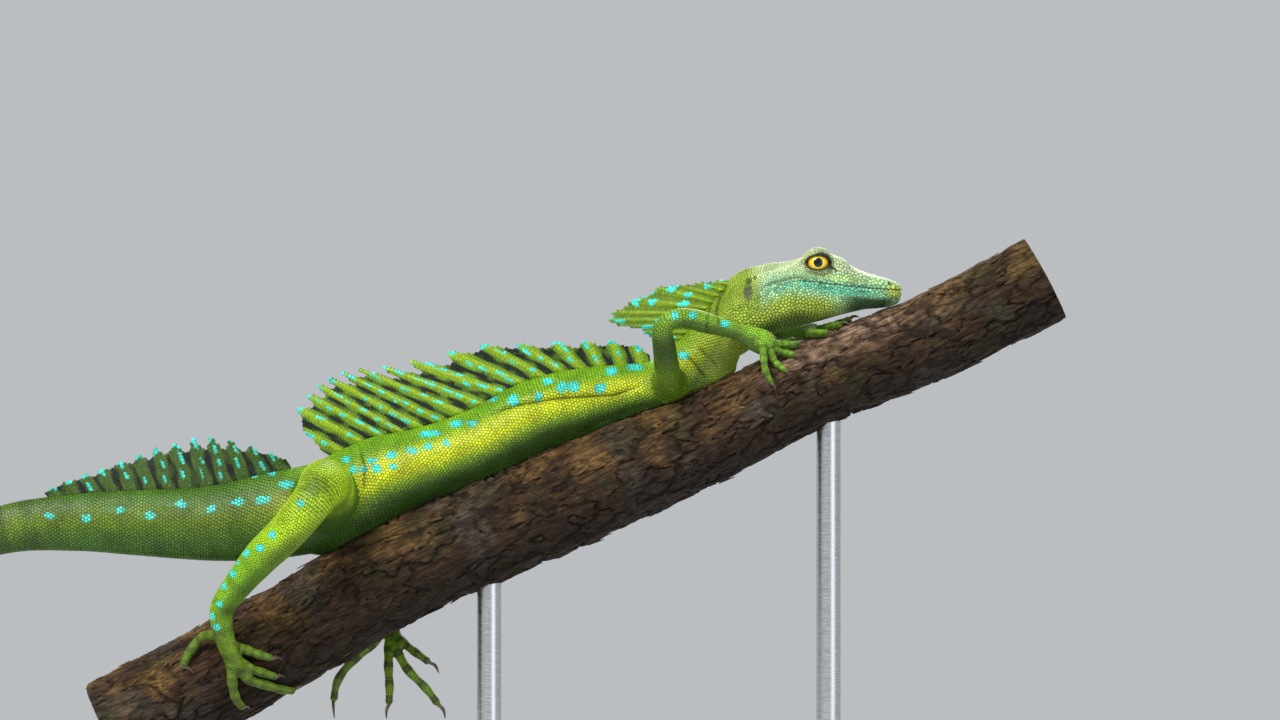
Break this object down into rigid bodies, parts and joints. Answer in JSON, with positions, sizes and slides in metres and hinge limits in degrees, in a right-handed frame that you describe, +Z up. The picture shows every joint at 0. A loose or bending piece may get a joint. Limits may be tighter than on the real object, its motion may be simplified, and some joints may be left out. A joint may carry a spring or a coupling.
{
  "type": "green basilisk lizard model on a branch perch with a display stand",
  "caption": "Life-size green basilisk lying along a slanted cut branch, with back and tail sails and head crest, on a flat base with upright rods.",
  "frame": {"origin": "on the underside of the stand's base, below a point of the branch just behind the shoulders", "axes": "+Z up; +X toward the animal's head, the way the branch rises; the animal's right side, the one in the picture, faces -Y"},
  "size_m": [0.4777, 0.17, 0.4753],
  "materials": {
    "skin": "dry, finely scaled, bright yellow-green with turquoise spots",
    "sail": "thin dark green skin between yellow-green rays with turquoise dashes",
    "eye": "wet gloss, golden yellow iris with a round black pupil",
    "bark": "rough flaking brown bark",
    "stand_paint": "satin dark grey paint",
    "rod_steel": "brushed"
  },
  "bodies": {
    "root": {"head": "skin", "neck": "skin", "torso": "skin", "tail_1": "skin", "tail_2": "skin", "tail_3": "skin", "tail_4": "skin", "tail_5": "skin", "upper_arm_right": "skin", "forearm_right": "skin", "hand_right": "skin", "upper_arm_left": "skin", "forearm_left": "skin", "hand_left": "skin", "thigh_right": "skin", "shin_right": "skin", "foot_right": "skin", "thigh_left": "skin", "shin_left": "skin", "foot_left": "skin", "sail_back": "sail", "sail_tail": "sail", "crest_head": "sail", "eye_right": "eye", "eye_left": "eye", "perch_branch": "bark", "stand_base": "stand_paint", "stand_rod_1": "rod_steel", "stand_rod_2": "rod_steel"}
  },
  "joints": []
}
